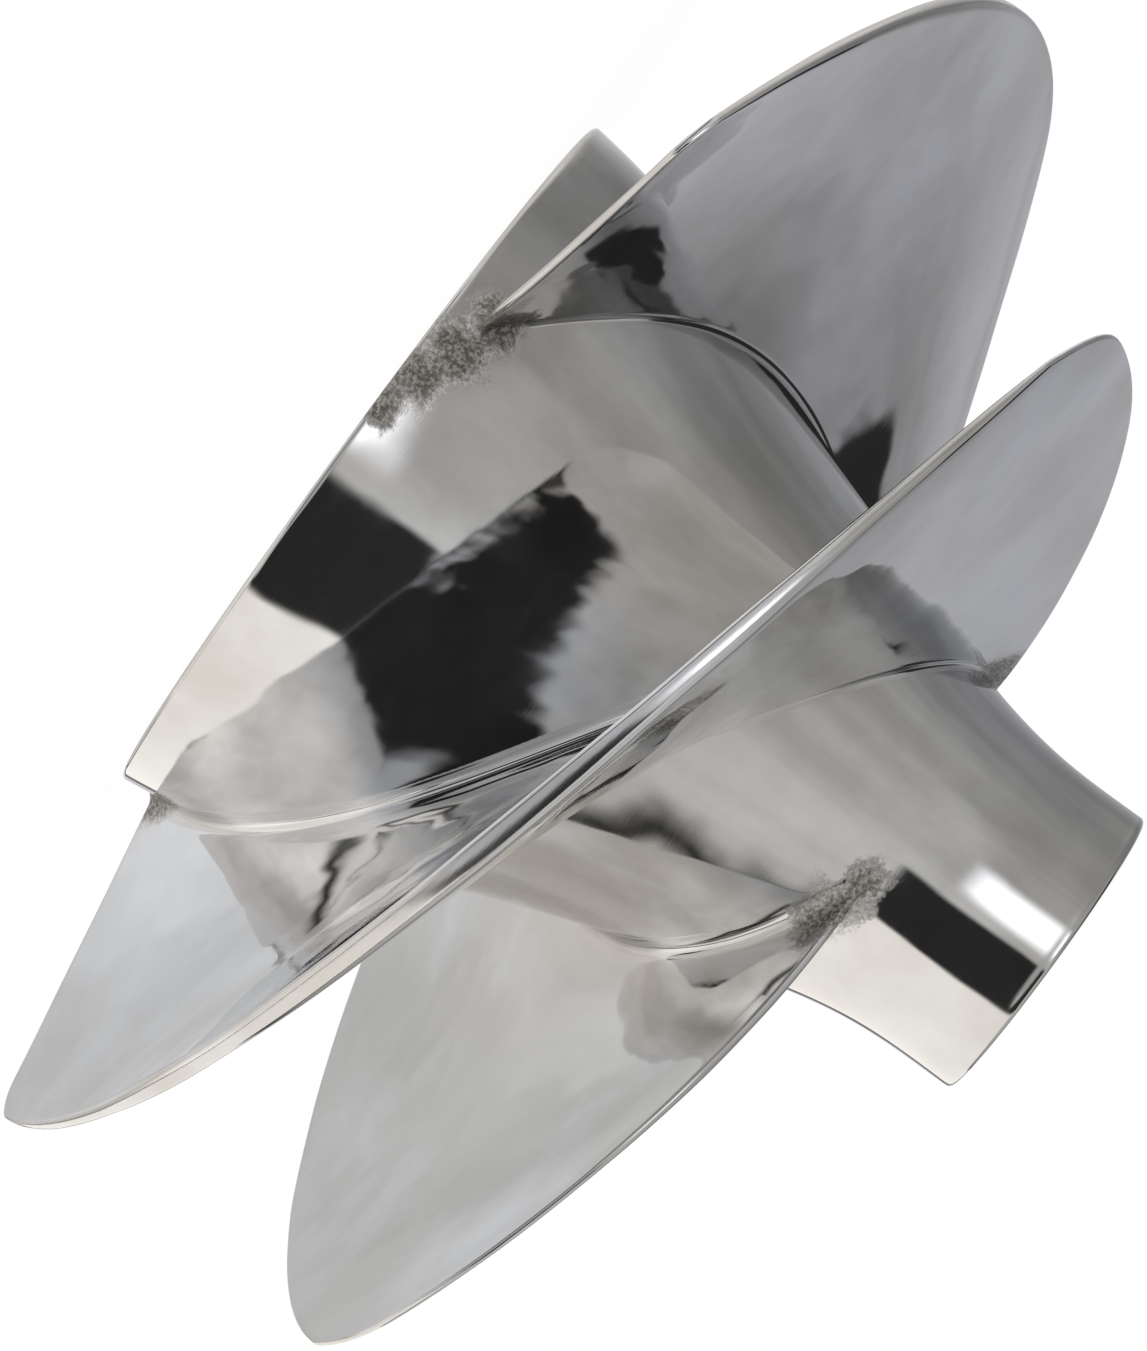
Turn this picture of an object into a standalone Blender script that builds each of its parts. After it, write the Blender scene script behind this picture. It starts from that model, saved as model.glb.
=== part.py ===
"""Jet-pump impeller of a personal watercraft: a bell-shaped hub with three wrapped blades.

The part stands on the hub's large rim. The axis is Z, the nose points up, and the origin is at the
centre of the rim. Lengths here are millimetres, and MM turns them into metres. Angles run
round +Z from the front (-Y) towards +X, in degrees. A blade falls as that angle grows, so the
three blades are a left-handed screw.
"""

import bmesh
import bpy
import numpy as np

MM = 0.001

# Driving dimensions of the whole impeller
TIP_RADIUS = 77.5
HEIGHT = 88.8
NOSE_RADIUS = 17.25
BLADES = 3
GAP = 0.3
HUB_STEPS = 72
CORE_STEPS = 48

# The hub's outside, from the nose down: height, and how fast the radius grows per mm of fall
FLARE = ((83.2, 0.0), (62.6, 0.36), (48.4, 0.33), (28.3, 0.47), (0.0, 0.10))
WALL = 3.4
RIM_ROUND = 1.2
NOSE_CHAMFER = 0.4
CAVITY_TOP = 56.0
SOCKET_RADIUS = 14.4
HUB_STATIONS = 16
CAVITY_STATIONS = 7
CAVITY_START = 6.0

# The core tube and what it holds
CORE_BOTTOM = 5.0
CORE_TOP = 60.0
CORE_RADIUS = SOCKET_RADIUS - GAP
CORE_BORE = 11.3
CORE_CHAMFER = 0.5
SHOULDER = (36.0, 46.0)
SHOULDER_BORE = 9.3
INSERT_RADIUS = CORE_BORE - GAP
BUSH = (8.2, 34.0)
BUSH_BORE = 8.0
BUSH_CHAMFER = 0.8
BUMPER = (46.4, 56.6)
BUMPER_HOLE = 3.0
BUMPER_CHAMFER = 1.2
RING_BOTTOM = 57.2
RING_THICKNESS = 1.2
RING_BORE = 9.6
RING_EYE_BORE = 7.9
RING_ENDS = (12.0, 24.0)
RIB_THICKNESS = 3.2
RIB_BOTTOM = 6.0
RIB_TOP = 50.0
RIB_STATIONS = 6
FIRST_RIB_ANGLE = 90.0

# The splined socket for the drive shaft, and the two seals
SLEEVE = (CORE_TOP + GAP, 85.4)
SPLINE_TEETH = 22
SPLINE_ROOT = 12.0
SPLINE_CREST = 10.7
SPLINE_ROOT_SHARE = 0.34
SPLINE_CREST_SHARE = 0.16
NOSE_SEAL = (85.7, 88.2)
NOSE_SEAL_BORE = 11.6
NOSE_SEAL_CHAMFER = 0.6
REAR_SEAL_RADIUS = 9.65
REAR_SEAL_WIRE = 1.2
REAR_SEAL_RECESS = 0.5

# Blade: angles and heights of its middle surface
LEAD_ROOT_ANGLE = -85.0
LEAD_TIP_ANGLE = -42.5
LEAD_HOOK = 20.0
LEAD_HOOK_REACH = 0.07
TRAIL_ROOT_ANGLE = 97.0
TRAIL_TIP_ANGLE = 87.0
LEAD_CORNER = 6.5
TRAIL_CORNER = 2.6
CORNER_START = 0.88
ROOT_HEIGHT = 68.3
ROOT_FALL = (0.111, 0.00104)
TIP_HEIGHT = 40.84
TIP_FALL = (0.2828, 0.00036)
TIP_FALL_START = -41.0
LEAD_BOW = 1.8
CHORD_STATIONS = 38
SPAN_STATIONS = 12
END_CROWDING = 0.5
SLOPE_STEP = 0.002

# Blade: how its thickness changes along the chord and towards the hub
HALF_THICKNESS = 1.36
ROOT_SWELL = 0.35
LEAD_THINNING = 0.75
LEAD_FULL_AT = 0.5
TRAIL_THINNING = 0.72
TRAIL_FULL_UNTIL = 0.4


def hub_radius(height):
    """Outer radius of the hub: the nose's cylinder, then FLARE's slopes added up on the way down."""
    radius = NOSE_RADIUS
    for (top, top_slope), (bottom, bottom_slope) in zip(FLARE, FLARE[1:]):
        if height >= top:
            break
        low = max(height, bottom)
        slope = top_slope + (bottom_slope - top_slope) * (top - low) / (top - bottom)
        radius += (top - low) * (top_slope + slope) / 2
    return radius


def material(name, colour, metallic, roughness):
    made = bpy.data.materials.new(name)
    made.use_nodes = True
    shader = made.node_tree.nodes["Principled BSDF"]
    shader.inputs["Base Color"].default_value = (*colour, 1)
    shader.inputs["Metallic"].default_value = metallic
    shader.inputs["Roughness"].default_value = roughness
    return made


def add_object(name, mesh, surface, collection):
    obj = bpy.data.objects.new(name, mesh)
    mesh.materials.append(surface)
    collection.objects.link(obj)
    return obj


def smooth(mesh, sharp_angle=35):
    mesh.shade_smooth()
    mesh.set_sharp_from_angle(angle=np.radians(sharp_angle))


def turned(name, profile, surface, collection, steps=CORE_STEPS):
    """A ring turned about Z. The closed profile of (radius, height) runs down its outer side first."""
    mesh = bpy.data.meshes.new(name)
    points = [(radius * MM, 0, height * MM) for radius, height in profile]
    count = len(points)
    mesh.from_pydata(points, [(i, (i + 1) % count) for i in range(count)], [])
    obj = add_object(name, mesh, surface, collection)
    screw = obj.modifiers.new("turn", "SCREW")
    screw.steps = screw.render_steps = steps
    screw.use_merge_vertices = True
    screw.merge_threshold = 0.00001
    screw.use_smooth_shade = True
    return obj


def arc(centre, radius, start, end, points=5):
    """Points of an arc in the (radius, height) plane, with angles in degrees from the radius axis."""
    angles = np.radians(np.linspace(start, end, points))
    return [(centre[0] + radius * np.cos(a), centre[1] + radius * np.sin(a)) for a in angles]


def chamfered(inner, outer, bottom, top, chamfer):
    """Profile of a plain ring with its four edges chamfered."""
    return [
        (outer - chamfer, top),
        (outer, top - chamfer),
        (outer, bottom + chamfer),
        (outer - chamfer, bottom),
        (inner + chamfer, bottom),
        (inner, bottom + chamfer),
        (inner, top - chamfer),
        (inner + chamfer, top),
    ]


def hub_shell(surface, collection):
    """The bell, hollow from the rim, with a plain socket through the nose."""
    profile = [(NOSE_RADIUS - NOSE_CHAMFER, HEIGHT), (NOSE_RADIUS, HEIGHT - NOSE_CHAMFER)]
    for height in np.linspace(FLARE[0][0], 2 * RIM_ROUND, HUB_STATIONS):
        profile.append((hub_radius(height), height))
    rim = hub_radius(RIM_ROUND)
    profile += arc((rim - RIM_ROUND, RIM_ROUND), RIM_ROUND, 0, -90)
    profile.append((hub_radius(0) - WALL, 0))
    ceiling_start = CAVITY_TOP - WALL
    for height in np.linspace(CAVITY_START, ceiling_start, CAVITY_STATIONS):
        profile.append((hub_radius(height) - WALL, height))
    profile.append((hub_radius(ceiling_start) - 2 * WALL, CAVITY_TOP))
    profile.append((SOCKET_RADIUS, CAVITY_TOP))
    profile.append((SOCKET_RADIUS, HEIGHT - NOSE_CHAMFER))
    profile.append((SOCKET_RADIUS + NOSE_CHAMFER, HEIGHT))
    turned("hub_shell", profile, surface, collection, HUB_STEPS)


def corner(span):
    """0 along most of the span, rising to 1 at the tip."""
    return max(0, (span - CORNER_START) / (1 - CORNER_START)) ** 3


def hook(chord, span):
    """How far the leading edge wraps back round the hub, in degrees: most at the root."""
    return LEAD_HOOK * (1 - chord) ** 4 * np.exp(-span / LEAD_HOOK_REACH)


def middle_point(chord, span):
    """(radius, angle, height) of the blade's middle surface; chord and span run from 0 to 1."""
    rounding = LEAD_CORNER * corner(span) * (1 - chord) - TRAIL_CORNER * corner(span) * chord
    root_angle = LEAD_ROOT_ANGLE + (TRAIL_ROOT_ANGLE - LEAD_ROOT_ANGLE) * chord
    tip_angle = LEAD_TIP_ANGLE + (TRAIL_TIP_ANGLE - LEAD_TIP_ANGLE) * chord + rounding
    angle = root_angle + (tip_angle - root_angle) * span - hook(chord, span)
    fall = root_angle - hook(chord, 0) - (LEAD_ROOT_ANGLE - LEAD_HOOK)
    root = ROOT_HEIGHT - ROOT_FALL[0] * fall - ROOT_FALL[1] * fall**2
    tip = TIP_HEIGHT - TIP_FALL[0] * tip_angle - TIP_FALL[1] * (tip_angle - TIP_FALL_START) ** 2
    share = span ** (LEAD_BOW + (1 - LEAD_BOW) * chord)
    height = root + (tip - root) * share
    inner = hub_radius(height) + GAP
    return inner + (TIP_RADIUS - inner) * span, angle, height


def at_angle(radius, angle, height):
    """The point in space, in millimetres."""
    turn = np.radians(angle)
    return np.array((radius * np.sin(turn), -radius * np.cos(turn), height))


def half_thickness(chord, span):
    """Thin at the leading edge, full in the middle, thin again at the trailing edge."""
    lead = 1 - LEAD_THINNING * (1 - np.sin(np.pi / 2 * min(1, chord / LEAD_FULL_AT)))
    past_full = max(0, (chord - TRAIL_FULL_UNTIL) / (1 - TRAIL_FULL_UNTIL))
    trail = 1 - TRAIL_THINNING * past_full**2
    return HALF_THICKNESS * lead * trail * (1 + ROOT_SWELL * (1 - span))


def surface_point(chord, span, side):
    """A point of the blade's upper (+1) or lower (-1) surface, kept outside the hub and inside the tip."""
    step = SLOPE_STEP
    ahead, behind = (at_angle(*middle_point(chord + s, span)) for s in (step, -step))
    outward = at_angle(*middle_point(chord, min(1, span + step)))
    inward = at_angle(*middle_point(chord, max(0, span - step)))
    normal = np.cross(ahead - behind, outward - inward)
    normal *= side * np.sign(normal[2]) / np.linalg.norm(normal)
    point = at_angle(*middle_point(chord, span)) + normal * half_thickness(chord, span)
    clear = hub_radius(point[2]) + GAP
    wanted = clear + (TIP_RADIUS - clear) * span
    point[:2] *= wanted / np.hypot(point[0], point[1])
    return point


def crowded(count, share):
    """Numbers from 0 to 1 that crowd towards both ends: evenly spaced at share 0, by a cosine at 1."""
    even = np.linspace(0, 1, count)
    return (1 - share) * even + share * (1 - np.cos(np.pi * even)) / 2


def blade(number, surface, collection):
    """A loft of rings round the blade's section, from root to tip, closed at both ends."""
    chords = crowded(CHORD_STATIONS, END_CROWDING)
    made = bmesh.new()
    rings = []
    for span in crowded(SPAN_STATIONS, 1):
        upper = [surface_point(chord, span, 1) for chord in chords]
        lower = [surface_point(chord, span, -1) for chord in chords[::-1]]
        rings.append([made.verts.new(point * MM) for point in upper + lower])
    count = len(rings[0])
    for inner, outer in zip(rings, rings[1:]):
        for i in range(count):
            j = (i + 1) % count
            made.faces.new((inner[i], inner[j], outer[j], outer[i]))
    for ring in (rings[0], rings[-1]):
        for i in range(CHORD_STATIONS - 1):
            made.faces.new((ring[i], ring[i + 1], ring[count - 2 - i], ring[count - 1 - i]))
    bmesh.ops.recalc_face_normals(made, faces=made.faces)
    mesh = bpy.data.meshes.new(f"blade_{number}")
    made.to_mesh(mesh)
    made.free()
    smooth(mesh)
    obj = add_object(f"blade_{number}", mesh, surface, collection)
    obj.rotation_euler.z = np.radians(360 / BLADES * (number - 2))


def core_tube(surface, collection):
    """The centre boss, bored from both ends up to a shoulder."""
    profile = chamfered(CORE_BORE, CORE_RADIUS, CORE_BOTTOM, CORE_TOP, CORE_CHAMFER)
    low, high = SHOULDER
    shoulder = [(CORE_BORE, low), (SHOULDER_BORE, low), (SHOULDER_BORE, high), (CORE_BORE, high)]
    bore_bottom = 6
    profile[bore_bottom:bore_bottom] = shoulder
    turned("core_tube", profile, surface, collection)


def flat_piece(name, outlines, thickness, surface, collection):
    """A flat piece from closed outlines of (x, y) points, the first its outside and the rest its holes."""
    curve = bpy.data.curves.new(name, "CURVE")
    curve.dimensions = "2D"
    curve.fill_mode = "BOTH"
    curve.extrude = thickness / 2 * MM
    for outline in outlines:
        spline = curve.splines.new("POLY")
        spline.points.add(len(outline) - 1)
        for point, (x, y) in zip(spline.points, outline):
            point.co = (x * MM, y * MM, 0, 1)
        spline.use_cyclic_u = True
    return add_object(name, curve, surface, collection)


def rib(number, surface, collection):
    """A flat web from the core tube out to the shell, along the inside of the bell."""
    heights = np.linspace(RIB_BOTTOM, RIB_TOP, RIB_STATIONS)
    inner = CORE_RADIUS + GAP
    outline = [(inner, RIB_TOP), (inner, RIB_BOTTOM)]
    outline += [(hub_radius(height) - WALL - 2 * GAP, height) for height in heights]
    obj = flat_piece(f"rib_{number}", [outline], RIB_THICKNESS, surface, collection)
    turn = FIRST_RIB_ANGLE + 360 / BLADES * (number - 1)
    obj.rotation_euler = (np.pi / 2, 0, np.radians(turn))


def on_circle(radius, angle):
    """The (x, y) point at this angle in degrees from +X."""
    return radius * np.cos(np.radians(angle)), radius * np.sin(np.radians(angle))


def drive_spline_sleeve(surface, collection):
    """The sleeve that the drive shaft slides into, with straight-sided internal teeth."""
    one_tooth = (
        (-SPLINE_ROOT_SHARE, SPLINE_ROOT),
        (-SPLINE_CREST_SHARE, SPLINE_CREST),
        (SPLINE_CREST_SHARE, SPLINE_CREST),
        (SPLINE_ROOT_SHARE, SPLINE_ROOT),
    )
    pitch = 360 / SPLINE_TEETH
    teeth = []
    for tooth in range(SPLINE_TEETH):
        teeth += [on_circle(radius, pitch * (tooth + share)) for share, radius in one_tooth]
    outside = [on_circle(CORE_RADIUS, angle) for angle in np.arange(HUB_STEPS) * 360 / HUB_STEPS]
    length = SLEEVE[1] - SLEEVE[0]
    obj = flat_piece("drive_spline_sleeve", [outside, teeth], length, surface, collection)
    obj.location.z = sum(SLEEVE) / 2 * MM


def retaining_ring(surface, collection):
    """An internal snap ring with an eye at each end of its gap."""
    end, eye = RING_ENDS
    body = np.linspace(eye, 360 - eye, CORE_STEPS)
    outline = [on_circle(INSERT_RADIUS, angle) for angle in (end, *body, -end)]
    outline += [on_circle(RING_EYE_BORE, angle) for angle in (-end, -eye)]
    outline += [on_circle(RING_BORE, angle) for angle in body[::-1]]
    outline += [on_circle(RING_EYE_BORE, angle) for angle in (eye, end)]
    obj = flat_piece("retaining_ring", [outline], RING_THICKNESS, surface, collection)
    obj.location.z = (RING_BOTTOM + RING_THICKNESS / 2) * MM


def clear_scene():
    for obj in list(bpy.data.objects):
        bpy.data.objects.remove(obj)


def build():
    clear_scene()
    parts = bpy.data.collections.new("jet_pump_impeller")
    bpy.context.scene.collection.children.link(parts)
    polished = material("polished_stainless", (0.62, 0.61, 0.59), 1, 0.08)
    cast = material("cast_stainless", (0.42, 0.41, 0.40), 1, 0.45)
    machined = material("machined_steel", (0.50, 0.50, 0.50), 1, 0.3)
    bronze = material("bronze", (0.55, 0.36, 0.16), 1, 0.35)
    rubber = material("black_rubber", (0.03, 0.03, 0.03), 0, 0.7)
    spring = material("spring_steel", (0.2, 0.2, 0.21), 1, 0.35)

    hub_shell(polished, parts)
    core_tube(cast, parts)
    for number in range(1, BLADES + 1):
        blade(number, polished, parts)
        rib(number, cast, parts)
    drive_spline_sleeve(machined, parts)
    retaining_ring(spring, parts)
    bush = chamfered(BUSH_BORE, INSERT_RADIUS, *BUSH, BUSH_CHAMFER)
    turned("pump_shaft_bush", bush, bronze, parts)
    bumper = chamfered(BUMPER_HOLE, INSERT_RADIUS, *BUMPER, BUMPER_CHAMFER)
    turned("shaft_bumper", bumper, rubber, parts)
    nose_seal = chamfered(NOSE_SEAL_BORE, CORE_RADIUS, *NOSE_SEAL, NOSE_SEAL_CHAMFER)
    turned("nose_seal_ring", nose_seal, rubber, parts)
    seal_centre = (REAR_SEAL_RADIUS, CORE_BOTTOM + REAR_SEAL_RECESS + REAR_SEAL_WIRE)
    rear_seal = arc(seal_centre, REAR_SEAL_WIRE, 90, -240, 12)
    turned("rear_seal_ring", rear_seal, rubber, parts)


build()
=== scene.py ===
"""Looks of the jet-pump impeller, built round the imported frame.

Each CAD node is stood for by a finer piece of the same shape: a smooth bell, blades with rounded edges
and fillets where they meet the bell, cut splines, a threaded bush, moulded seals.

Lengths here are millimetres, and MM turns them into metres. Angles run round +Z from the front (-Y)
towards +X, in degrees. A blade falls as that angle grows.
"""

import bpy
import numpy as np
from mathutils import Matrix, Vector


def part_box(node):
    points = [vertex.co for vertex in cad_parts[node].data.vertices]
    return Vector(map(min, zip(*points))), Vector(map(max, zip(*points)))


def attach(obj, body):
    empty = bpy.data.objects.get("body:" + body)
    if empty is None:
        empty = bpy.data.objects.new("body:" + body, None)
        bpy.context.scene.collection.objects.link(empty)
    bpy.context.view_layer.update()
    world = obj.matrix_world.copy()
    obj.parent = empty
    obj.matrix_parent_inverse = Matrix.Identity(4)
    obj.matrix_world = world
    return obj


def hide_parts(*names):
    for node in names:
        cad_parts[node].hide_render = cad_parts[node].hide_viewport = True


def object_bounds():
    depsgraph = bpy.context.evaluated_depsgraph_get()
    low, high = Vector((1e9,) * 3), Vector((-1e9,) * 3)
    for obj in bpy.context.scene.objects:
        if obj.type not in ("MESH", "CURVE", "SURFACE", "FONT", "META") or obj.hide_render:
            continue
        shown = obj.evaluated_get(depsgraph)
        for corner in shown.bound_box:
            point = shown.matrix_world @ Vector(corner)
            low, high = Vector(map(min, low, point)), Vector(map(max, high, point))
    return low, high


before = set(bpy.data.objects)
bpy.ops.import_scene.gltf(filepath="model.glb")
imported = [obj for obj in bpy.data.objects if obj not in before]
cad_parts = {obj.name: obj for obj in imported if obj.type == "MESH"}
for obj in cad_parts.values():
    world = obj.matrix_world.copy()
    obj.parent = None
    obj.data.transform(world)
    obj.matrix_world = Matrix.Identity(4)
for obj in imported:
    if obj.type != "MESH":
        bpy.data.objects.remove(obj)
cad_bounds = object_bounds()

MM = 0.001


def box_mm(node):
    """Lowest and highest corner of a CAD node, in millimetres."""
    low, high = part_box(node)
    return np.array(low) / MM, np.array(high) / MM


# Sizes read from the frame
HEIGHT = box_mm("hub_shell")[1][2]
TIP_RADIUS = np.array(cad_bounds[1])[0] / MM
CORE_RADIUS = box_mm("core_tube")[1][0]
CORE_BOTTOM, CORE_TOP = (corner[2] for corner in box_mm("core_tube"))
INSERT_RADIUS = box_mm("pump_shaft_bush")[1][0]
BUSH_BOTTOM, BUSH_TOP = (corner[2] for corner in box_mm("pump_shaft_bush"))
BUMPER_BOTTOM, BUMPER_TOP = (corner[2] for corner in box_mm("shaft_bumper"))
SLEEVE_BOTTOM, SLEEVE_TOP = (corner[2] for corner in box_mm("drive_spline_sleeve"))
NOSE_SEAL_BOTTOM, NOSE_SEAL_TOP = (corner[2] for corner in box_mm("nose_seal_ring"))
REAR_SEAL_BOTTOM, REAR_SEAL_TOP = (corner[2] for corner in box_mm("rear_seal_ring"))
RING_BOTTOM, RING_TOP = (corner[2] for corner in box_mm("retaining_ring"))
RIB_BOTTOM, RIB_TOP = (corner[2] for corner in box_mm("rib_1"))

# The hub's outside, from the nose down: height, and how fast the radius grows per mm of fall
NOSE_RADIUS = 17.25
FLARE = ((83.2, 0.0), (62.6, 0.36), (48.4, 0.33), (28.3, 0.47), (0.0, 0.10))
FLARE_SMOOTHING = 5.0
FLARE_STEP = 0.1
FLARE_MARGIN = 8.0
WALL = 3.4
RIM_ROUND = 0.5
NOSE_ROUND = 0.5
NOSE_FLAT = 0.8
SOCKET_LEAD_IN = 0.6
CAVITY_TOP = 56.0
CAVITY_START = 6.0
SOCKET_RADIUS = 14.4

# The core tube and what it holds
CORE_BORE = 11.3
SHOULDER = (36.0, 46.0)
SHOULDER_BORE = 9.3
BUSH_BORE = 8.0
THREAD_PITCH = 1.5
THREAD_DEPTH = 0.9
THREAD_LEAD_IN = THREAD_DEPTH + 0.3
BUMPER_HOLE = 3.0
RING_BORE = 9.6
RING_EYE_BORE = 7.9
RING_EYE_HOLE = 0.6
RING_ENDS = (12.0, 24.0)
RIB_THICKNESS = 3.2
FIRST_RIB_ANGLE = 90.0
SPLINE_TEETH = 22
SPLINE_ROOT = 12.0
SPLINE_CREST = 10.7
SPLINE_CHAMFER = 1.4
SPLINE_CREST_SHARE = 0.17
SPLINE_FLANK_SHARE = 0.16
NOSE_SEAL_BORE = 11.6

# Blade: angles and heights of its middle surface
BLADES = 3
LEAD_ROOT_ANGLE = -85.0
LEAD_TIP_ANGLE = -42.5
LEAD_HOOK = 20.0
LEAD_HOOK_REACH = 0.07
TRAIL_ROOT_ANGLE = 97.0
TRAIL_TIP_ANGLE = 87.0
LEAD_CORNER = 6.5
TRAIL_CORNER = 2.6
CORNER_START = 0.88
ROOT_HEIGHT = 68.3
ROOT_FALL = (0.111, 0.00104)
TIP_HEIGHT = 40.84
TIP_FALL = (0.2828, 0.00036)
TIP_FALL_START = -41.0
LEAD_BOW = 1.8
SLOPE_STEP = 0.002

# Blade: its thickness along the chord and towards the hub, and its rounded edges and fillets
HALF_THICKNESS = 1.36
ROOT_SWELL = 0.35
LEAD_THINNING = 0.75
LEAD_FULL_AT = 0.5
TRAIL_THINNING = 0.72
TRAIL_FULL_UNTIL = 0.4
EDGE_INSET = (0.004, 0.006)
TIP_ROUND = 0.8
TIP_ROUND_SHARE = 0.75
UPPER_FILLET = 0.9
LOWER_FILLET = 2.0
FILLET_TUCK = 0.25
FILLET_OVERLAP = 0.5
LARGEST_FILLET_SHARE = 0.7

# Unpolished patches: chord, span and size at the leading edge; angle, height and size at the trailing edge
LEAD_PATCH = ((0.0, 0.0, 2.6), (0.028, 0.02, 3.8), (0.05, 0.03, 3.4))
TRAIL_PATCH = ((94.0, 5.0, 4.2), (101.0, 3.4, 4.4), (107.0, 1.8, 3.6), (113.0, 0.6, 3.0))

# How finely the pieces are made
HUB_STEPS = 288
HUB_STATIONS = 130
CAVITY_STATIONS = 40
RIM_STEPS = 9
CORE_STEPS = 144
THREAD_STATIONS = 260
STEPS_A_TOOTH = 16
CHORD_STATIONS = 170
EDGE_STATIONS = 7
FILLET_ROWS = 10
SPAN_ROWS = 44
TIP_ROWS = 5
RIB_STATIONS = 40

# Hand polishing leaves the surface gently wavy
WAVE_HEIGHT = 0.018
WAVE_LENGTHS = (9.0, 28.0)
WAVE_COUNT = 14

# The view
VIEW_ROLL = 36.1
VIEW_TARGET = (5.63, 0.0, 31.81)
VIEW_DISTANCE = 782.3
VIEW_LENS = 199.9
FLOOR_RADIUS = 6000.0
FLOOR_SIDES = 64


# ---------------------------------------------------------------- the impeller's shape


def smoothed_flare():
    """Heights from below the rim to above the nose, with the hub's radius and slope at each."""
    heights = np.arange(-FLARE_MARGIN, HEIGHT + FLARE_MARGIN, FLARE_STEP)
    bends, slopes = np.array(FLARE[::-1]).T
    slope = np.interp(heights, bends, slopes)
    width = int(FLARE_SMOOTHING / FLARE_STEP)
    for _ in range(2):
        padded = np.pad(slope, width // 2, mode="edge")
        slope = np.convolve(padded, np.ones(width + 1) / (width + 1), mode="same")
        slope = slope[width // 2 : width // 2 + len(heights)]
    rise = np.concatenate([[0], np.cumsum((slope[1:] + slope[:-1]) / 2 * FLARE_STEP)])
    return heights, NOSE_RADIUS + rise[-1] - rise, slope


FLARE_HEIGHTS, FLARE_RADII, FLARE_SLOPES = smoothed_flare()


def hub_radius(height):
    return np.interp(height, FLARE_HEIGHTS, FLARE_RADII)


def hub_slope(height):
    return np.interp(height, FLARE_HEIGHTS, FLARE_SLOPES)


def waves():
    """Directions, phases and sizes of the plane waves that make up the polishing waviness."""
    random = np.random.default_rng(11)
    directions = random.normal(size=(WAVE_COUNT, 3))
    directions /= np.linalg.norm(directions, axis=1, keepdims=True)
    lengths = random.uniform(*WAVE_LENGTHS, WAVE_COUNT)
    phases = random.uniform(0, 2 * np.pi, WAVE_COUNT)
    return directions * 2 * np.pi / lengths[:, None], phases, lengths / WAVE_LENGTHS[1]


WAVES = waves()


def waviness(points):
    """How far the polished surface stands proud at these points, in millimetres."""
    directions, phases, sizes = WAVES
    return WAVE_HEIGHT * (np.sin(points @ directions.T + phases) * sizes).sum(-1)


def at_angle(radius, angle, height):
    turn = np.radians(angle)
    return np.stack([radius * np.sin(turn), -radius * np.cos(turn), height + 0 * turn], -1)


def with_radius(points, radius):
    """The points moved straight out or in to this distance from the axis."""
    moved = points.copy()
    moved[..., :2] *= (radius / np.hypot(points[..., 0], points[..., 1]))[..., None]
    return moved


def unit(vectors):
    return vectors / np.linalg.norm(vectors, axis=-1, keepdims=True)


def middle(chord, span):
    """Points of the blade's middle surface. Chord runs from the leading edge, span from the hub."""
    corner = np.clip((span - CORNER_START) / (1 - CORNER_START), 0, 1) ** 3
    rounding = LEAD_CORNER * corner * (1 - chord) - TRAIL_CORNER * corner * chord
    lead_share = np.clip(1 - chord, 0, None) ** 4
    hook = LEAD_HOOK * lead_share * np.exp(-span / LEAD_HOOK_REACH)
    root_angle = LEAD_ROOT_ANGLE + (TRAIL_ROOT_ANGLE - LEAD_ROOT_ANGLE) * chord
    tip_angle = LEAD_TIP_ANGLE + (TRAIL_TIP_ANGLE - LEAD_TIP_ANGLE) * chord + rounding
    angle = root_angle + (tip_angle - root_angle) * span - hook
    fall = root_angle - LEAD_HOOK * lead_share - (LEAD_ROOT_ANGLE - LEAD_HOOK)
    root = ROOT_HEIGHT - ROOT_FALL[0] * fall - ROOT_FALL[1] * fall**2
    tip = TIP_HEIGHT - TIP_FALL[0] * tip_angle - TIP_FALL[1] * (tip_angle - TIP_FALL_START) ** 2
    height = root + (tip - root) * span ** (LEAD_BOW + (1 - LEAD_BOW) * chord)
    inner = hub_radius(height)
    return at_angle(inner + (TIP_RADIUS - inner) * span, angle, height)


def half_thickness(chord, span):
    """Thin at the leading edge, full in the middle, thin again at the trailing edge."""
    lead = 1 - LEAD_THINNING * (1 - np.sin(np.pi / 2 * np.clip(chord / LEAD_FULL_AT, 0, 1)))
    past_full = np.clip((chord - TRAIL_FULL_UNTIL) / (1 - TRAIL_FULL_UNTIL), 0, 1)
    return HALF_THICKNESS * lead * (1 - TRAIL_THINNING * past_full**2) * (1 + ROOT_SWELL * (1 - span))


def blade_surface(chord, turn, span, inset=0.0):
    """Points of the blade's skin, and which way it faces there.

    Turn goes round the section: 0 is the upper side, 90 past the trailing edge, 180 the lower side and
    270 past the leading edge. Inset thins the blade, for the rounding at its tip.
    """
    low = np.clip(span - SLOPE_STEP, 0, 1)
    high = np.clip(span + SLOPE_STEP, 0, 1)
    along = unit(middle(chord + SLOPE_STEP, span) - middle(chord - SLOPE_STEP, span))
    normal = unit(np.cross(along, middle(chord, high) - middle(chord, low)))
    normal *= np.sign(normal[..., 2:])
    turn = np.radians(turn)[..., None]
    facing = normal * np.cos(turn) + along * np.sin(turn)
    thickness = half_thickness(chord, span) - inset
    points = middle(chord, span) + facing * thickness[..., None]
    points += facing * waviness(points)[..., None]
    clear = hub_radius(points[..., 2])
    return with_radius(points, clear + (TIP_RADIUS - clear) * span), facing


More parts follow.
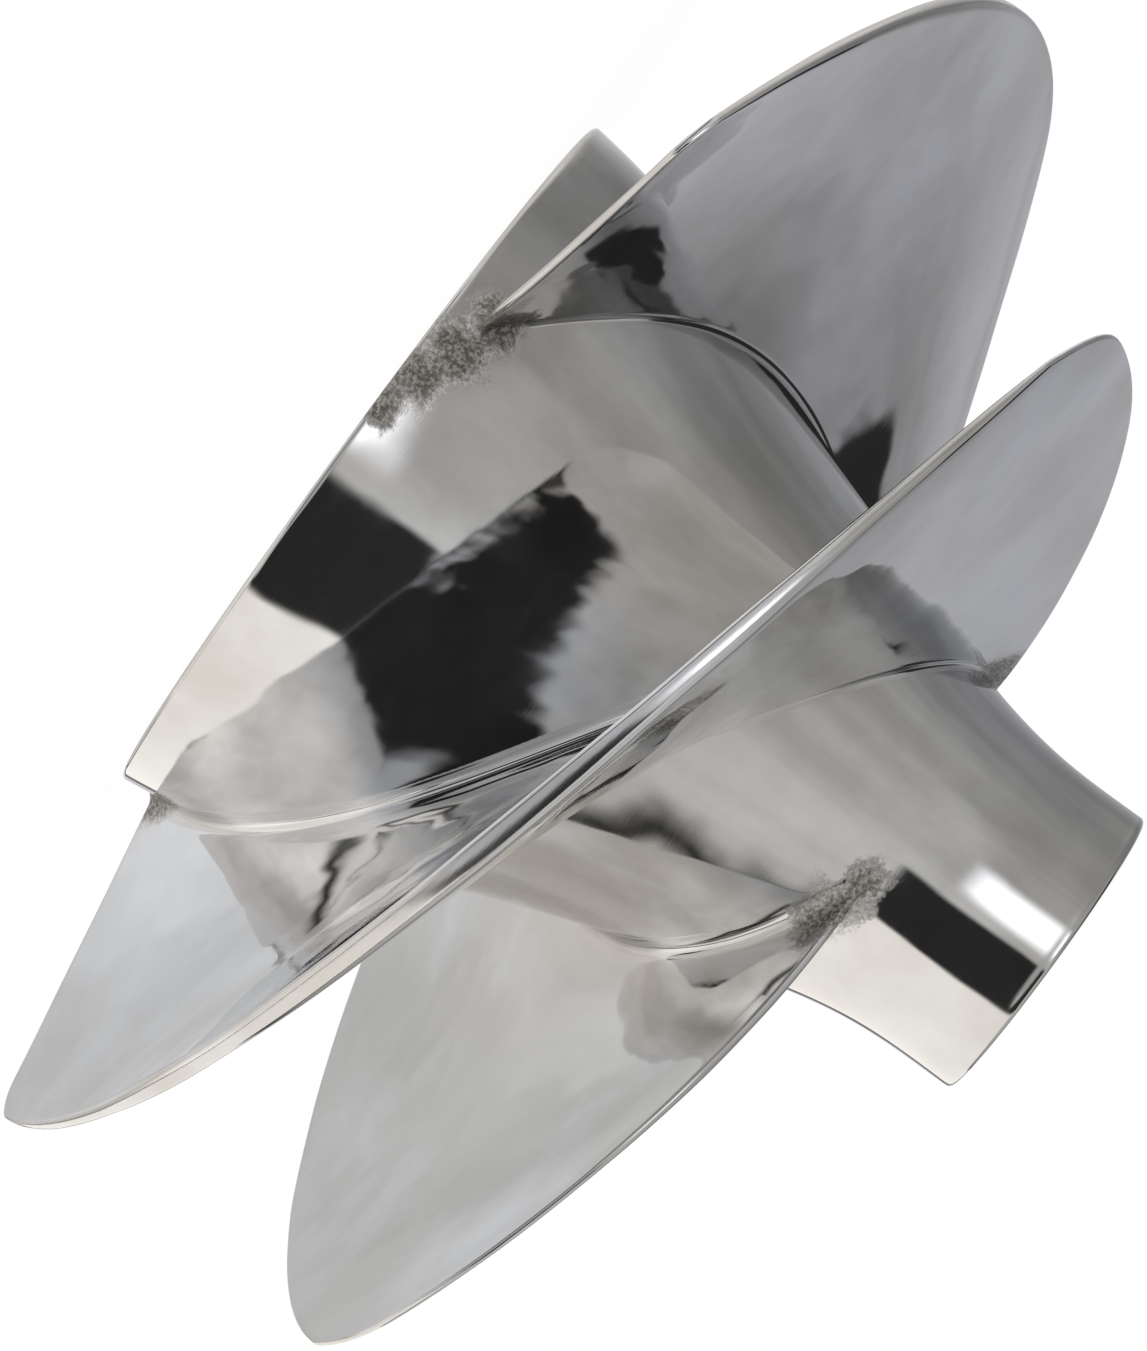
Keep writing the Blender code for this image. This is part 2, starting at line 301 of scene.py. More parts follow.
def section_ring():
    """Chord and turn of the points round the blade's section: upper side, trailing edge, lower side, lead."""
    even = np.linspace(0, 1, CHORD_STATIONS)
    crowded = 0.55 * even + 0.45 * (1 - np.cos(np.pi * even)) / 2
    first, last = EDGE_INSET[0], 1 - EDGE_INSET[1]
    chords = first + (last - first) * crowded
    edge = np.linspace(0, 180, EDGE_STATIONS + 2)[1:-1]
    side = np.zeros(CHORD_STATIONS)
    chord = [chords, np.full(EDGE_STATIONS, last), chords[::-1], np.full(EDGE_STATIONS, first)]
    turn = [side, edge, side + 180, edge + 180]
    return np.concatenate(chord), np.concatenate(turn)


def hub_skin(points):
    """The points moved onto the bell's outer surface."""
    return with_radius(points, hub_radius(points[..., 2]) + waviness(points))


def fillet_rows(chord, turn):
    """Rows from inside the bell's wall up the fillet to the blade, and the span where the fillet ends."""
    root, facing = blade_surface(chord, turn, 0 * chord)
    root = hub_skin(root)
    lower_share = (1 - np.cos(np.radians(turn))) / 2
    reach = UPPER_FILLET + (LOWER_FILLET - UPPER_FILLET) * lower_share
    reach = np.minimum(reach, LARGEST_FILLET_SHARE * root[:, 2])
    span_length = np.linalg.norm(blade_surface(chord, turn, 0 * chord + 1)[0] - root, axis=1)
    end_span = reach / span_length
    end = blade_surface(chord, turn, end_span)[0]
    root_angle = np.degrees(np.arctan2(root[:, 0], -root[:, 1]))
    outward = unit(at_angle(1, root_angle, hub_slope(root[:, 2])))
    along_hub = unit(facing - (facing * outward).sum(1, keepdims=True) * outward)
    foot = hub_skin(root + along_hub * reach[:, None])
    tucked = root + along_hub * (reach[:, None] + FILLET_OVERLAP)
    tucked = with_radius(tucked, hub_radius(tucked[:, 2]) - FILLET_TUCK)
    rows = [tucked]
    for share in np.linspace(0, 1, FILLET_ROWS, endpoint=False):
        point = (1 - share) ** 2 * foot + 2 * share * (1 - share) * root + share**2 * end
        rows.append(point)
    return rows, end_span


def blade_rows():
    """All rows of the blade, from inside the bell's wall to the tip."""
    chord, turn = section_ring()
    rows, first_span = fillet_rows(chord, turn)
    even = np.linspace(0, 1, SPAN_ROWS)
    crowded = 0.5 * even + 0.5 * (1 - np.cos(np.pi * even)) / 2
    length = TIP_RADIUS - hub_radius(middle(chord, 0 * chord)[:, 2])
    rounding = np.minimum(TIP_ROUND, TIP_ROUND_SHARE * half_thickness(chord, 1.0))
    last_span = 1 - rounding / length
    for share in crowded:
        rows.append(blade_surface(chord, turn, first_span + (last_span - first_span) * share)[0])
    for angle in np.radians(np.linspace(0, 90, TIP_ROWS + 1)[1:]):
        span = 1 - rounding * (1 - np.sin(angle)) / length
        rows.append(blade_surface(chord, turn, span, rounding * (1 - np.cos(angle)))[0])
    return np.array(rows)


def root_end_patches():
    """Places where the leading and trailing edges meet the hub, which the polishing wheel can't reach.

    The trailing edge's patch runs on along the rim, ahead of the blade.
    """
    spots = []
    for chord, span, size in LEAD_PATCH:
        spots.append((middle(np.array(chord), np.array(span)), size))
    for angle, height, size in TRAIL_PATCH:
        spots.append((at_angle(hub_radius(height), np.array(angle), height), size))
    places = []
    for number in range(BLADES):
        turn = np.array(Matrix.Rotation(2 * np.pi * number / BLADES, 3, "Z"))
        places += [(turn @ place, size) for place, size in spots]
    return places


def unpolished(points):
    """1 at the unpolished root ends, falling to 0 over a few millimetres."""
    share = np.zeros(len(points))
    for place, size in root_end_patches():
        distance = np.linalg.norm(points - place, axis=1)
        share = np.maximum(share, np.exp(-((distance / size) ** 2)))
    return share


# ---------------------------------------------------------------- making pieces


def stand_for(obj, node):
    """The object rides on the part's one body, in place of a CAD node."""
    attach(obj, "root")
    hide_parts(node)


def new_piece(name, points, faces, materials, node, sharp=40):
    """A smooth-shaded mesh that stands for a CAD node and rides on the part's one body."""
    mesh = bpy.data.meshes.new(name)
    mesh.from_pydata((points * MM).tolist(), [], [list(map(int, face)) for face in faces])
    mesh.validate()
    mesh.shade_smooth()
    mesh.set_sharp_from_angle(angle=np.radians(sharp))
    for material in materials:
        mesh.materials.append(material)
    obj = bpy.data.objects.new(name, mesh)
    bpy.context.scene.collection.objects.link(obj)
    stand_for(obj, node)
    return obj


def add_unpolished_attribute(obj, points):
    attribute = obj.data.attributes.new("unpolished", "FLOAT", "POINT")
    attribute.data.foreach_set("value", unpolished(points).astype(np.float32))


def closed_grid_faces(stations, steps):
    """Faces of a grid of points that closes on itself both ways, like a ring."""
    index = np.arange(stations * steps).reshape(stations, steps)
    below = np.roll(index, -1, 0)
    faces = np.stack([index, below, np.roll(below, -1, 1), np.roll(index, -1, 1)], -1)
    return faces.reshape(-1, 4)


def rounded(profile, radius, steps=4):
    """The closed profile of (radius, height) points with its corners rounded."""
    made = []
    points = np.array(profile, float)
    for before, point, after in zip(np.roll(points, 1, 0), points, np.roll(points, -1, 0)):
        to_before, to_after = before - point, after - point
        lengths = np.linalg.norm(to_before), np.linalg.norm(to_after)
        if np.dot(to_before, to_after) / (lengths[0] * lengths[1]) < -0.96:
            made.append(point)
            continue
        start = point + to_before * min(radius / lengths[0], 0.45)
        end = point + to_after * min(radius / lengths[1], 0.45)
        for share in np.linspace(0, 1, steps + 1):
            made.append((1 - share) ** 2 * start + 2 * share * (1 - share) * point + share**2 * end)
    return np.array(made)


def turned_points(profile, steps):
    """Points of the profile turned round the axis, as (stations, steps, 3)."""
    angles = np.arange(steps) * 360 / steps
    return at_angle(profile[:, :1], angles[None, :], profile[:, 1:])


def turned(name, profile, materials, node, steps=CORE_STEPS, sharp=40):
    """A ring turned about the axis. Its profile runs down its outer side first."""
    points = turned_points(profile, steps)
    faces = closed_grid_faces(*points.shape[:2])
    return new_piece(name, points.reshape(-1, 3), faces, materials, node, sharp)


def ring_profile(inner, outer, bottom, top):
    return [(outer, top), (outer, bottom), (inner, bottom), (inner, top)]


def outer_corners(inner, outer, bottom, top, radius):
    """The two rounded outer corners of a ring whose bore is made separately."""
    profile = rounded(ring_profile(inner, outer, bottom, top), radius)
    return profile[: len(profile) // 2]


def with_bore(outer, radius, heights):
    """The ring's outer corners, then its bore from the bottom up."""
    return np.concatenate([outer, np.stack([np.full(len(heights), radius), heights], -1)])


# ---------------------------------------------------------------- node graphs


class Graph:
    """Adds nodes to a node tree. Each call returns the new node's output, ready to be an input."""

    def __init__(self, tree):
        self.tree = tree

    def add(self, kind, *values, output=0, **settings):
        node = self.tree.nodes.new(kind)
        for name, value in settings.items():
            setattr(node, name, value)
        for socket, value in zip(node.inputs, values):
            self.set(socket, value)
        return node.outputs[output]

    def set(self, socket, value):
        if isinstance(value, bpy.types.NodeSocket):
            self.tree.links.new(value, socket)
        elif value is not None:
            socket.default_value = value

    def math(self, operation, *values):
        return self.add("ShaderNodeMath", *values, operation=operation)

    def smooth_step(self, value, start, end, low=0.0, high=1.0):
        kind = "SMOOTHSTEP"
        return self.add("ShaderNodeMapRange", value, start, end, low, high, interpolation_type=kind)

    def noise(self, vector, scale, detail=3.0, roughness=0.5):
        return self.add("ShaderNodeTexNoise", vector, None, scale, detail, roughness)

    def stretched(self, vector, scale):
        """The vector scaled along each axis, for streaks."""
        return self.add("ShaderNodeMapping", vector, None, None, scale)

    def mix(self, share, first, second):
        """Colours or numbers mixed, in colour form."""
        node = self.tree.nodes.new("ShaderNodeMix")
        node.data_type = "RGBA"
        for name, value in ((0, share), (6, first), (7, second)):
            self.set(node.inputs[name], value)
        return node.outputs[2]

    def bump(self, height, strength, distance, normal=None):
        node = self.tree.nodes.new("ShaderNodeBump")
        self.set(node.inputs["Strength"], strength)
        self.set(node.inputs["Distance"], distance)
        self.set(node.inputs["Height"], height)
        self.set(node.inputs["Normal"], normal)
        return node.outputs[0]


def new_material(name):
    """A material with its graph and its Principled shader."""
    material = bpy.data.materials.new(name)
    material.use_nodes = True
    shader = material.node_tree.nodes["Principled BSDF"]
    return material, Graph(material.node_tree), shader


def object_position(graph):
    """Position on the object, in millimetres, and its distance from the axis and height."""
    position = graph.add("ShaderNodeTexCoord", output=3)
    scaled = graph.add("ShaderNodeVectorMath", position, (1000, 1000, 1000), operation="MULTIPLY")
    split = graph.tree.nodes.new("ShaderNodeSeparateXYZ")
    graph.set(split.inputs[0], scaled)
    squares = [graph.math("POWER", split.outputs[axis], 2.0) for axis in (0, 1)]
    return scaled, graph.math("SQRT", graph.math("ADD", *squares)), split.outputs[2]


def polished_stainless():
    """Mirror-polished stainless: smoky haze, gentle ripples, fine polishing lines, and rough root ends."""
    material, graph, shader = new_material("polished_stainless")
    position, radius, _ = object_position(graph)
    rough_end = graph.add("ShaderNodeAttribute", output=2, attribute_name="unpolished")
    speckle = graph.math("MULTIPLY", graph.noise(position, 2.4, 4.0, 0.75), 0.5)
    blotch = graph.math("MULTIPLY", graph.noise(position, 0.35, 3.0, 0.6), 0.9)
    rough_end = graph.math("ADD", rough_end, graph.math("ADD", speckle, blotch))
    rough_end = graph.smooth_step(rough_end, 0.98, 1.65)
    band_start = TIP_RADIUS - 0.12
    tip_band = graph.smooth_step(radius, band_start, band_start + 0.08)

    haze = graph.noise(position, 0.055, 4.0, 0.55)
    smears = graph.noise(graph.stretched(position, (0.25, 0.25, 1.2)), 0.35, 5.0, 0.6)
    haze = graph.math("ADD", graph.math("MULTIPLY", haze, 0.6), graph.math("MULTIPLY", smears, 0.4))
    roughness = graph.smooth_step(haze, 0.38, 0.72, 0.03, 0.10)
    roughness = graph.math("ADD", roughness, graph.math("MULTIPLY", rough_end, 0.2))
    roughness = graph.math("ADD", roughness, graph.math("MULTIPLY", tip_band, 0.1))

    lines = graph.noise(graph.stretched(position, (0.12, 0.12, 7.0)), 1.0, 4.0, 0.7)
    scratches = graph.noise(graph.stretched(position, (0.3, 0.3, 9.0)), 1.0, 2.0, 0.4)
    scratches = graph.smooth_step(scratches, 0.66, 0.72)
    roughness = graph.math("ADD", roughness, graph.math("MULTIPLY", scratches, 0.05))
    grain = graph.noise(position, 2.2, 5.0, 0.7)
    grooves = graph.noise(graph.stretched(position, (0.02, 0.02, 5.0)), 1.0, 2.0, 0.5)
    strength = graph.math("MULTIPLY", rough_end, 0.7)
    ripples = graph.noise(graph.stretched(position, (1.0, 1.0, 0.7)), 0.12, 1.5, 0.35)
    normal = graph.bump(ripples, 1.0, 0.00018)
    normal = graph.bump(lines, 0.05, 0.00002, normal)
    normal = graph.bump(grain, strength, 0.0005, normal)
    normal = graph.bump(grooves, graph.math("MULTIPLY", tip_band, 0.12), 0.00003, normal)

    smoke = graph.add("ShaderNodeTexNoise", position, None, 0.03, 6.0, 0.55, 2.0, 0.0, 1.4)
    smoke = graph.smooth_step(smoke, 0.38, 0.66)
    tint = graph.mix(smoke, (0.55, 0.545, 0.535, 1), (0.68, 0.69, 0.71, 1))
    pits = graph.mix(graph.smooth_step(grain, 0.42, 0.6), (0.10, 0.095, 0.08, 1), (0.50, 0.48, 0.44, 1))
    tint = graph.mix(graph.math("MULTIPLY", rough_end, 0.85), tint, pits)
    shader.inputs["Metallic"].default_value = 1.0
    graph.set(shader.inputs["Base Color"], tint)
    graph.set(shader.inputs["Roughness"], roughness)
    graph.set(shader.inputs["Normal"], normal)
    return material


def cast_stainless():
    """As-cast and bead-blasted stainless, with a little heat tint and grime in its grain."""
    material, graph, shader = new_material("cast_stainless")
    position, _, _ = object_position(graph)
    grain = graph.noise(position, 1.6, 6.0, 0.7)
    patches = graph.noise(position, 0.12, 4.0, 0.6)
    colour = graph.mix(graph.smooth_step(patches, 0.35, 0.7), (0.44, 0.43, 0.415, 1), (0.33, 0.315, 0.295, 1))
    colour = graph.mix(graph.smooth_step(grain, 0.5, 0.75), colour, (0.24, 0.23, 0.22, 1))
    shader.inputs["Metallic"].default_value = 1.0
    graph.set(shader.inputs["Base Color"], colour)
    graph.set(shader.inputs["Roughness"], graph.smooth_step(patches, 0.3, 0.7, 0.36, 0.55))
    graph.set(shader.inputs["Normal"], graph.bump(grain, 0.7, 0.00025))
    return material


def turned_metal(name, light, dark, roughness, pitch):
    """Metal off the lathe: fine marks round the axis on its faces and bores, and a little staining."""
    material, graph, shader = new_material(name)
    position, radius, height = object_position(graph)
    along = graph.add("ShaderNodeCombineXYZ", radius, 0.0, height)
    marks = graph.noise(along, pitch, 3.0, 0.6)
    stain = graph.noise(position, 0.25, 4.0, 0.6)
    shader.inputs["Metallic"].default_value = 1.0
    graph.set(shader.inputs["Base Color"], graph.mix(graph.smooth_step(stain, 0.4, 0.75), light, dark))
    marked = graph.smooth_step(marks, 0.3, 0.7, roughness - 0.07, roughness + 0.1)
    graph.set(shader.inputs["Roughness"], marked)
    graph.set(shader.inputs["Normal"], graph.bump(marks, 0.5, 0.00005))
    return material


def black_rubber():
    """Moulded rubber: matt, with a fine pebble and paler dust."""
    material, graph, shader = new_material("black_rubber")
    position, _, _ = object_position(graph)
    pebble = graph.noise(position, 4.0, 3.0, 0.6)
    dust = graph.smooth_step(graph.noise(position, 0.5, 5.0, 0.7), 0.5, 0.8)
    graph.set(shader.inputs["Base Color"], graph.mix(dust, (0.018, 0.018, 0.019, 1), (0.06, 0.058, 0.055, 1)))
    graph.set(shader.inputs["Roughness"], graph.smooth_step(pebble, 0.3, 0.7, 0.5, 0.75))
    graph.set(shader.inputs["Normal"], graph.bump(pebble, 0.4, 0.00008))
    shader.inputs["Specular IOR Level"].default_value = 0.35
    return material


# ---------------------------------------------------------------- the pieces


def make_hub(outside, inside):
    """The bell: polished outside, as cast inside."""
    profile = [(SOCKET_RADIUS + SOCKET_LEAD_IN, HEIGHT), (NOSE_RADIUS - NOSE_ROUND - NOSE_FLAT, HEIGHT)]
    profile += [(NOSE_RADIUS - NOSE_ROUND, HEIGHT)]
    for angle in np.radians(np.linspace(75, 0, 6)):
        radius = NOSE_RADIUS - NOSE_ROUND + NOSE_ROUND * np.cos(angle)
        profile.append((radius, HEIGHT - NOSE_ROUND + NOSE_ROUND * np.sin(angle)))
    nose_count = len(profile)
    for height in np.linspace(HEIGHT - NOSE_ROUND - 0.4, RIM_ROUND + 0.4, HUB_STATIONS):
        profile.append((hub_radius(height), height))
    rim = hub_radius(RIM_ROUND)
    for angle in np.radians(np.linspace(0, -90, RIM_STEPS)):
        radius = rim - RIM_ROUND + RIM_ROUND * np.cos(angle)
        profile.append((radius, RIM_ROUND + RIM_ROUND * np.sin(angle)))
    outer_count = len(profile)
    ceiling = CAVITY_TOP - WALL
    inside_wall = hub_radius(0) - WALL
    profile += [(rim - RIM_ROUND - 0.3, 0), (inside_wall + 0.3, 0), (inside_wall, 0.3)]
    cavity = np.linspace(CAVITY_START, ceiling, CAVITY_STATIONS)
    profile += [(hub_radius(height) - WALL, height) for height in cavity]
    for angle in np.radians(np.linspace(10, 80, 8)):
        radius = hub_radius(ceiling) - 2 * WALL + WALL * np.cos(angle)
        profile.append((radius, ceiling + WALL * np.sin(angle)))
    profile += [(SOCKET_RADIUS + 0.3, CAVITY_TOP), (SOCKET_RADIUS, CAVITY_TOP + 0.3)]
    profile += [(SOCKET_RADIUS, HEIGHT - SOCKET_LEAD_IN), (SOCKET_RADIUS + 0.05, HEIGHT - 0.5)]
    profile += [(SOCKET_RADIUS + 0.55, HEIGHT - 0.05)]
    points = turned_points(np.array(profile), HUB_STEPS)
    skin = slice(nose_count, outer_count - RIM_STEPS)
    points[skin] = hub_skin(points[skin])
    stations, steps = points.shape[:2]
    hub = new_piece(
        "bell_hub", points.reshape(-1, 3), closed_grid_faces(stations, steps),
        [outside, inside], "hub_shell", 50,
    )
    material_index = np.repeat((np.arange(stations) >= outer_count + 2).astype(np.int32), steps)
    hub.data.polygons.foreach_set("material_index", material_index)
    add_unpolished_attribute(hub, points.reshape(-1, 3))


def make_blades(material):
    """Three blades alike, a third of a turn apart. blade_2 is the one in front."""
    rows = blade_rows()
    count, ring = rows.shape[:2]
    index = np.arange(count * ring).reshape(count, ring)
    nearer, farther = index[:-1], index[1:]
    sides = np.stack([nearer, farther, np.roll(farther, -1, 1), np.roll(nearer, -1, 1)], -1)
    faces = sides.reshape(-1, 4).tolist()
    low_start = CHORD_STATIONS + EDGE_STATIONS
    for row, flip in ((index[0], False), (index[-1], True)):
        upper = row[:CHORD_STATIONS]
        lower = row[low_start : low_start + CHORD_STATIONS][::-1]
        trail = row[CHORD_STATIONS - 1 : low_start + 1]
        lead = [*row[low_start + CHORD_STATIONS - 1 :], row[0]]
        caps = [[a, b, c, d] for a, b, c, d in zip(upper, upper[1:], lower[1:], lower)]
        caps += [list(trail), list(lead)]
        faces += [cap[::-1] for cap in caps] if flip else caps
    points = rows.reshape(-1, 3)
    for number in range(1, BLADES + 1):
        turn = np.array(Matrix.Rotation(2 * np.pi * (number - 2) / BLADES, 3, "Z"))
        placed = points @ turn.T
        blade = new_piece(
            f"polished_blade_{number}", placed, faces, [material],
            f"blade_{number}", 60,
        )
        add_unpolished_attribute(blade, placed)


def make_core(material):
    low, high = SHOULDER
    profile = ring_profile(CORE_BORE, CORE_RADIUS, CORE_BOTTOM, CORE_TOP)
    shoulder = [(CORE_BORE, low), (SHOULDER_BORE, low), (SHOULDER_BORE, high), (CORE_BORE, high)]
    profile[3:3] = shoulder
    turned("core_boss", rounded(profile, 0.6), [material], "core_tube")


def make_threaded_bush(material):
    """The bush that screws onto the pump shaft, with a helical thread in its bore."""
    outer = outer_corners(BUSH_BORE + THREAD_LEAD_IN, INSERT_RADIUS, BUSH_BOTTOM, BUSH_TOP, 0.5)
    bore = np.linspace(BUSH_BOTTOM + 0.05, BUSH_TOP - 0.05, THREAD_STATIONS)
    points = turned_points(with_bore(outer, BUSH_BORE, bore), CORE_STEPS)
    angles = np.arange(CORE_STEPS) / CORE_STEPS
    phase = (bore[:, None] / THREAD_PITCH - angles[None, :]) % 1
    groove = np.clip(1.35 * (1 - np.abs(2 * phase - 1)) - 0.15, 0, 1) * THREAD_DEPTH
    from_end = np.minimum(bore - BUSH_BOTTOM, BUSH_TOP - bore)[:, None]
    radius = np.maximum(BUSH_BORE + groove, BUSH_BORE + THREAD_LEAD_IN - from_end)
    points[len(outer):] = with_radius(points[len(outer):], radius)
    faces = closed_grid_faces(*points.shape[:2])
    new_piece("threaded_bush", points.reshape(-1, 3), faces, [material], "pump_shaft_bush", 50)


def make_spline_sleeve(material):
    """The sleeve for the drive shaft, with flat-crested teeth that end in a chamfer."""
    outer = outer_corners(SPLINE_ROOT + 0.4, CORE_RADIUS, SLEEVE_BOTTOM, SLEEVE_TOP, 0.4)
    chamfer = np.linspace(0.05, SPLINE_CHAMFER + 0.1, 8)
    bore = np.concatenate([SLEEVE_BOTTOM + chamfer, (SLEEVE_TOP - chamfer)[::-1]])
    steps = SPLINE_TEETH * STEPS_A_TOOTH
    points = turned_points(with_bore(outer, SPLINE_CREST, bore), steps)
    across = np.abs((np.arange(steps) / STEPS_A_TOOTH) % 1 - 0.5)
    flank = np.clip((across - SPLINE_CREST_SHARE) / SPLINE_FLANK_SHARE, 0, 1)
    flank = flank * flank * (3 - 2 * flank)
    tooth = SPLINE_CREST + (SPLINE_ROOT - SPLINE_CREST) * flank
    from_end = np.minimum(bore - SLEEVE_BOTTOM, SLEEVE_TOP - bore)[:, None]
    radius = np.maximum(tooth[None, :], SPLINE_CREST + SPLINE_CHAMFER - from_end)
    points[len(outer):] = with_radius(points[len(outer):], radius)
    faces = closed_grid_faces(*points.shape[:2])
    new_piece(
        "cut_spline_sleeve", points.reshape(-1, 3), faces, [material],
        "drive_spline_sleeve", 35,
    )


def make_rubber(material):
    """The bumper that the drive shaft rests on, the nose's lip seal and the rear O-ring."""
    top, bottom = BUMPER_TOP, BUMPER_BOTTOM
    bumper = [
        (INSERT_RADIUS, top - 1.6), (INSERT_RADIUS, bottom + 1.6), (INSERT_RADIUS - 1.6, bottom),
        (BUMPER_HOLE, bottom), (BUMPER_HOLE, top - 1.2), (BUMPER_HOLE + 1.6, top),
        (INSERT_RADIUS - 3.5, top), (INSERT_RADIUS - 2.4, top - 1.2),
    ]
    turned("rubber_bumper", rounded(bumper, 0.8, 6), [material], "shaft_bumper")

    low, high = NOSE_SEAL_BOTTOM, NOSE_SEAL_TOP
    middle_height = (low + high) / 2
    lip_root = NOSE_SEAL_BORE + 1.0
    seal = [
        (CORE_RADIUS, high), (CORE_RADIUS, low), (lip_root, low), (NOSE_SEAL_BORE, middle_height - 0.2),
        (NOSE_SEAL_BORE, middle_height + 0.2), (lip_root, high - 0.5), (lip_root + 0.5, high - 0.8),
        (lip_root + 0.8, high),
    ]
    turned("lip_seal", rounded(seal, 0.25), [material], "nose_seal_ring")

    wire = (REAR_SEAL_TOP - REAR_SEAL_BOTTOM) / 2
    centre = box_mm("rear_seal_ring")[1][0] - wire, (REAR_SEAL_TOP + REAR_SEAL_BOTTOM) / 2
    angles = np.radians(np.linspace(90, -270, 24, endpoint=False))
    o_ring = np.stack([centre[0] + wire * np.cos(angles), centre[1] + wire * np.sin(angles)], -1)
    turned("rear_o_ring", o_ring, [material], "rear_seal_ring", sharp=180)


def flat_piece(name, outlines, thickness, edge, material):
    """A flat plate with rounded edges, from closed outlines, the first its outside and the rest its holes."""
    curve = bpy.data.curves.new(name, "CURVE")
    curve.dimensions = "2D"
    curve.fill_mode = "BOTH"
    curve.extrude = (thickness / 2 - edge) * MM
    curve.bevel_depth = edge * MM
    curve.bevel_resolution = 2
    curve.offset = -edge * MM
    for outline in outlines:
        spline = curve.splines.new("POLY")
        spline.points.add(len(outline) - 1)
        for point, (x, y) in zip(spline.points, outline):
            point.co = (x * MM, y * MM, 0, 1)
        spline.use_cyclic_u = True
    curve.materials.append(material)
    obj = bpy.data.objects.new(name, curve)
    bpy.context.scene.collection.objects.link(obj)
    return obj


def on_circle(radius, angle):
    return radius * np.cos(np.radians(angle)), radius * np.sin(np.radians(angle))


def make_ribs(material):
    """Three flat webs from the core out to the bell."""
    for number in range(1, BLADES + 1):
        heights = np.linspace(RIB_BOTTOM, RIB_TOP, RIB_STATIONS)
        inner = CORE_RADIUS + 0.3
        outline = [(inner, RIB_TOP), (inner, RIB_BOTTOM)]
        outline += [(hub_radius(height) - WALL - 0.4, height) for height in heights]
        obj = flat_piece(f"web_{number}", [outline], RIB_THICKNESS, 0.7, material)
        turn = np.radians(FIRST_RIB_ANGLE + 360 / BLADES * (number - 1))
        obj.matrix_world = Matrix.Rotation(turn, 4, "Z") @ Matrix.Rotation(np.pi / 2, 4, "X")
        stand_for(obj, f"rib_{number}")


def make_snap_ring(material):
    """The internal snap ring, with a plier hole in the eye at each end of its gap."""
    end, eye = RING_ENDS
    body = np.linspace(eye, 360 - eye, 90)
    outline = [on_circle(INSERT_RADIUS, angle) for angle in (end, *body, -end)]
    outline += [on_circle(RING_EYE_BORE, angle) for angle in (-end, -eye)]
    outline += [on_circle(RING_BORE, angle) for angle in body[::-1]]
    outline += [on_circle(RING_EYE_BORE, angle) for angle in (eye, end)]
    holes = []
    for side in (1, -1):
        centre = on_circle((INSERT_RADIUS + RING_EYE_BORE) / 2, side * (end + eye) / 2)
        turns = [on_circle(RING_EYE_HOLE, angle) for angle in np.arange(0, 360, 24)]
        holes.append([(centre[0] + x, centre[1] + y) for x, y in turns])
    thickness = RING_TOP - RING_BOTTOM
    obj = flat_piece("snap_ring", [outline, *holes], thickness, 0.12, material)
    obj.location.z = (RING_BOTTOM + thickness / 2) * MM
    stand_for(obj, "retaining_ring")


# ---------------------------------------------------------------- camera, floor and light


def make_camera():
    """Level with the lower half of the part, looking along +Y, rolled so that the nose points down right."""
    camera = bpy.data.cameras.new("camera")
    camera.sensor_width = 36
    camera.lens = VIEW_LENS
    camera.clip_start = 0.01
    obj = bpy.data.objects.new("camera", camera)
    bpy.context.scene.collection.objects.link(obj)
    roll = np.radians(VIEW_ROLL)
    right = Vector((-np.sin(roll), 0, np.cos(roll)))
    up = Vector((-np.cos(roll), 0, -np.sin(roll)))
    back = right.cross(up)
    matrix = Matrix((right, up, back)).transposed().to_4x4()
    matrix.translation = (Vector(VIEW_TARGET) + back * VIEW_DISTANCE) * MM
    obj.matrix_world = matrix
    bpy.context.scene.camera = obj


def make_floor():
    """A plain pale floor that glows, as a lit sweep does, is clear from underneath and isn't mirrored."""
    mesh = bpy.data.meshes.new("floor")
    angles = np.linspace(0, 2 * np.pi, FLOOR_SIDES, endpoint=False)
    corners = [(FLOOR_RADIUS * MM * np.cos(a), FLOOR_RADIUS * MM * np.sin(a), 0) for a in angles]
    mesh.from_pydata(corners, [], [list(range(FLOOR_SIDES))])
    floor = bpy.data.objects.new("floor", mesh)
    bpy.context.scene.collection.objects.link(floor)
    material, graph, shader = new_material("floor_paper")
    shader.inputs["Base Color"].default_value = (0.16, 0.16, 0.16, 1)
    shader.inputs["Roughness"].default_value = 0.9
    shader.inputs["Specular IOR Level"].default_value = 0.0
    shader.inputs["Emission Color"].default_value = (1, 1, 1, 1)
    shader.inputs["Emission Strength"].default_value = 0.94
    from_below = graph.add("ShaderNodeNewGeometry", output=6)
    clear = graph.add("ShaderNodeBsdfTransparent")
    surface = graph.add("ShaderNodeMixShader", from_below, shader.outputs[0], clear)
    graph.set(material.node_tree.nodes["Material Output"].inputs[0], surface)
    mesh.materials.append(material)
    floor.visible_glossy = False


def panel(graph, azimuth, elevation, sides, rows, soft):
    """1 on a panel of the studio, 0 beside it. Sides, rows and the softness of its edges are in degrees."""
    share = 1.0
    for angle, (first, last) in ((azimuth, sides), (elevation, rows)):
        rise = graph.smooth_step(angle, first - soft, first + soft)
        fall = graph.smooth_step(angle, last - soft, last + soft, 1.0, 0.0)
        share = graph.math("MULTIPLY", share, graph.math("MULTIPLY", rise, fall))
    return share


def walls(graph, azimuth, stops):
    """Light from all round, as a ramp of (azimuth, colour) stops that starts and ends behind the part."""
    ramp = graph.tree.nodes.new("ShaderNodeValToRGB")
    ramp.color_ramp.interpolation = "EASE"
    graph.set(ramp.inputs[0], graph.add("ShaderNodeMapRange", azimuth, -180.0, 180.0))
    elements = ramp.color_ramp.elements
    while len(elements) < len(stops):
        elements.new(0.5)
    for element, (angle, colour) in zip(elements, stops):
        element.position = (angle + 180) / 360
        element.color = (*colour, 1)
    return ramp.outputs[0]


